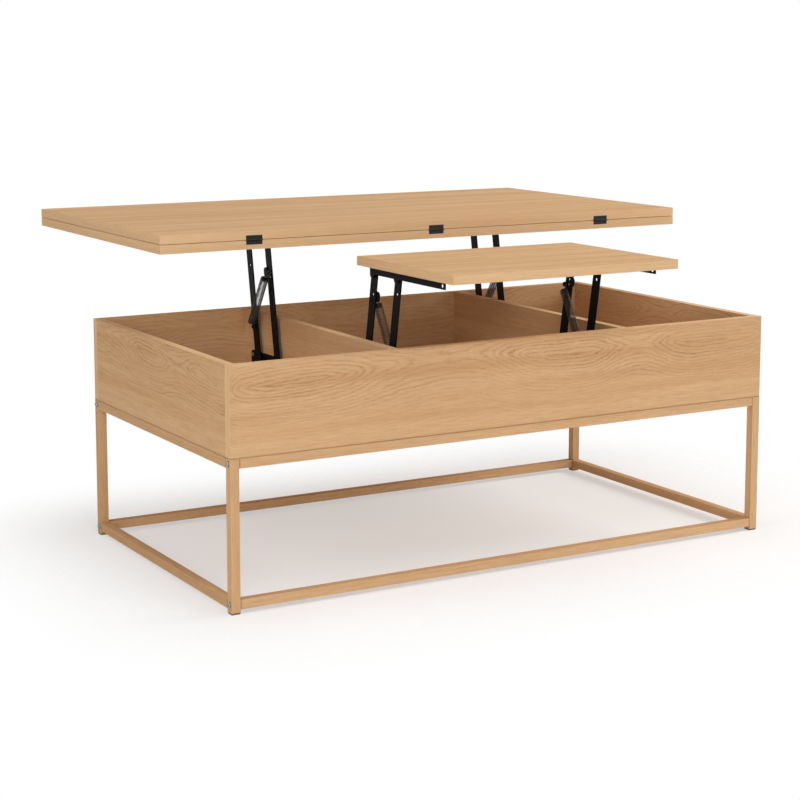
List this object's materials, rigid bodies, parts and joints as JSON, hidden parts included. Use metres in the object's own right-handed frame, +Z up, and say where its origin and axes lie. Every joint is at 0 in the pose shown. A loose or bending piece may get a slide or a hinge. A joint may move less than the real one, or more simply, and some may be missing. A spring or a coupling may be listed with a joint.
{
  "type": "convertible coffee dining table",
  "caption": "Lift-top storage coffee table: a folding leaf top and a small top rise on sprung parallel arms from a divided box on a slim tube frame.",
  "frame": {"origin": "on the floor in the middle of the four feet", "axes": "+Z up, +X along the table's length to the right, -Y to the front, both tops raised at rest"},
  "size_m": [1.1048, 1.0293, 0.5958],
  "materials": {
    "oak_veneer": "satin oak-look veneer",
    "frame_finish": "oak-look film on steel tube",
    "black_steel": "satin black coating",
    "spring_steel": "oiled wire",
    "zinc_fasteners": "zinc plate",
    "glide_plastic": "moulded"
  },
  "bodies": {
    "table_base": {"leg_front_left": "frame_finish", "leg_front_right": "frame_finish", "leg_rear_left": "frame_finish", "leg_rear_right": "frame_finish", "upper_rail_left": "frame_finish", "upper_rail_right": "frame_finish", "upper_rail_front": "frame_finish", "upper_rail_rear": "frame_finish", "lower_rail_left": "frame_finish", "lower_rail_right": "frame_finish", "lower_rail_front": "frame_finish", "lower_rail_rear": "frame_finish", "foot_glides": "glide_plastic", "frame_bolts": "zinc_fasteners", "front_panel": "oak_veneer", "rear_panel": "oak_veneer", "left_panel": "oak_veneer", "right_panel": "oak_veneer", "left_divider": "oak_veneer", "right_divider": "oak_veneer", "bottom_panel": "oak_veneer", "large_left_base_plate": "black_steel", "large_right_base_plate": "black_steel", "small_left_base_plate": "black_steel", "small_right_base_plate": "black_steel", "base_rivets": "black_steel", "base_plate_screws": "zinc_fasteners"},
    "large_lead_arms": {"large_left_lead_arm": "black_steel", "large_right_lead_arm": "black_steel"},
    "large_trail_arms": {"large_left_trail_arm": "black_steel", "large_right_trail_arm": "black_steel", "large_arm_tabs": "black_steel"},
    "large_top": {"lower_leaf": "oak_veneer", "lower_hinge_plates": "black_steel", "hinge_pins": "black_steel", "large_left_top_bar": "black_steel", "large_right_top_bar": "black_steel", "large_bar_screws": "zinc_fasteners", "large_top_rivets": "black_steel"},
    "top_leaf": {"upper_leaf": "oak_veneer", "upper_hinge_plates": "black_steel"},
    "large_spring_swings": {"large_spring_lower_anchors": "black_steel"},
    "large_spring_coils": {"large_left_spring": "spring_steel", "large_right_spring": "spring_steel"},
    "large_spring_eyes": {"large_spring_upper_anchors": "black_steel"},
    "small_lead_arms": {"small_left_lead_arm": "black_steel", "small_right_lead_arm": "black_steel"},
    "small_trail_arms": {"small_left_trail_arm": "black_steel", "small_right_trail_arm": "black_steel", "small_arm_tabs": "black_steel"},
    "small_top_set": {"small_top": "oak_veneer", "small_left_top_bar": "black_steel", "small_right_top_bar": "black_steel", "small_bar_screws": "zinc_fasteners", "small_top_rivets": "black_steel"},
    "small_spring_swings": {"small_spring_lower_anchors": "black_steel"},
    "small_spring_coils": {"small_left_spring": "spring_steel", "small_right_spring": "spring_steel"},
    "small_spring_eyes": {"small_spring_upper_anchors": "black_steel"}
  },
  "joints": [
    {"name": "large_lift", "type": "hinge", "parent": "table_base", "child": "large_lead_arms", "pos_m": [0, 0.206, 0.30483], "axis": [1, 0, 0], "range_deg": [0, 77.65]},
    {"name": "large_trail_swing", "type": "hinge", "parent": "table_base", "child": "large_trail_arms", "pos_m": [0, 0.123, 0.30483], "axis": [1, 0, 0], "range_deg": [0, 77.67]},
    {"name": "large_top_level", "type": "hinge", "parent": "large_lead_arms", "child": "large_top", "pos_m": [0, 0.24924, 0.55005], "axis": [1, 0, 0], "range_deg": [-77.67, 0]},
    {"name": "leaf_flip", "type": "hinge", "parent": "large_top", "child": "top_leaf", "pos_m": [0, -0.02666, 0.57945], "axis": [1, 0, 0], "range_deg": [0, 180]},
    {"name": "large_spring_swing", "type": "hinge", "parent": "large_lead_arms", "child": "large_spring_swings", "pos_m": [0, 0.22007, 0.3846], "axis": [1, 0, 0], "range_deg": [-30.99, 0]},
    {"name": "large_spring_stretch", "type": "slide", "parent": "large_spring_swings", "child": "large_spring_coils", "axis": [0, -0.5379, 0.843], "range_m": [0, 0.06062], "deforming": ["large_left_spring", "large_right_spring"]},
    {"name": "large_spring_eye", "type": "hinge", "parent": "large_trail_arms", "child": "large_spring_eyes", "pos_m": [0, 0.14955, 0.49511], "axis": [1, 0, 0], "range_deg": [-30.99, 0]},
    {"name": "small_lift", "type": "hinge", "parent": "table_base", "child": "small_lead_arms", "pos_m": [0, -0.206, 0.27913], "axis": [-1, 0, 0], "range_deg": [0, 77.67]},
    {"name": "small_trail_swing", "type": "hinge", "parent": "table_base", "child": "small_trail_arms", "pos_m": [0, -0.123, 0.27913], "axis": [-1, 0, 0], "range_deg": [0, 77.67]},
    {"name": "small_top_level", "type": "hinge", "parent": "small_lead_arms", "child": "small_top_set", "pos_m": [0, -0.24924, 0.52435], "axis": [-1, 0, 0], "range_deg": [-77.67, 0]},
    {"name": "small_spring_swing", "type": "hinge", "parent": "small_lead_arms", "child": "small_spring_swings", "pos_m": [0, -0.22007, 0.3589], "axis": [-1, 0, 0], "range_deg": [-28.97, 0]},
    {"name": "small_spring_stretch", "type": "slide", "parent": "small_spring_swings", "child": "small_spring_coils", "axis": [0, 0.5002, 0.8659], "range_m": [0, 0.06268], "deforming": ["small_left_spring", "small_right_spring"]},
    {"name": "small_spring_eye", "type": "hinge", "parent": "small_trail_arms", "child": "small_spring_eyes", "pos_m": [0, -0.15111, 0.47828], "axis": [-1, 0, 0], "range_deg": [-28.97, 0]}
  ],
  "couplings": [
    {"joint": "large_trail_swing", "follows": "large_lift", "ratio": 1},
    {"joint": "large_top_level", "follows": "large_lift", "ratio": -1},
    {"joint": "large_spring_swing", "follows": "large_lift", "ratio": -0.3988},
    {"joint": "large_spring_eye", "follows": "large_lift", "ratio": -0.3988},
    {"joint": "large_spring_stretch", "follows": "large_lift", "m_per_rad": 0.04469},
    {"joint": "small_lift", "follows": "large_lift", "ratio": 1},
    {"joint": "small_trail_swing", "follows": "large_lift", "ratio": 1},
    {"joint": "small_top_level", "follows": "large_lift", "ratio": -1},
    {"joint": "small_spring_swing", "follows": "large_lift", "ratio": -0.37287},
    {"joint": "small_spring_eye", "follows": "large_lift", "ratio": -0.37287},
    {"joint": "small_spring_stretch", "follows": "large_lift", "m_per_rad": 0.04621}
  ]
}
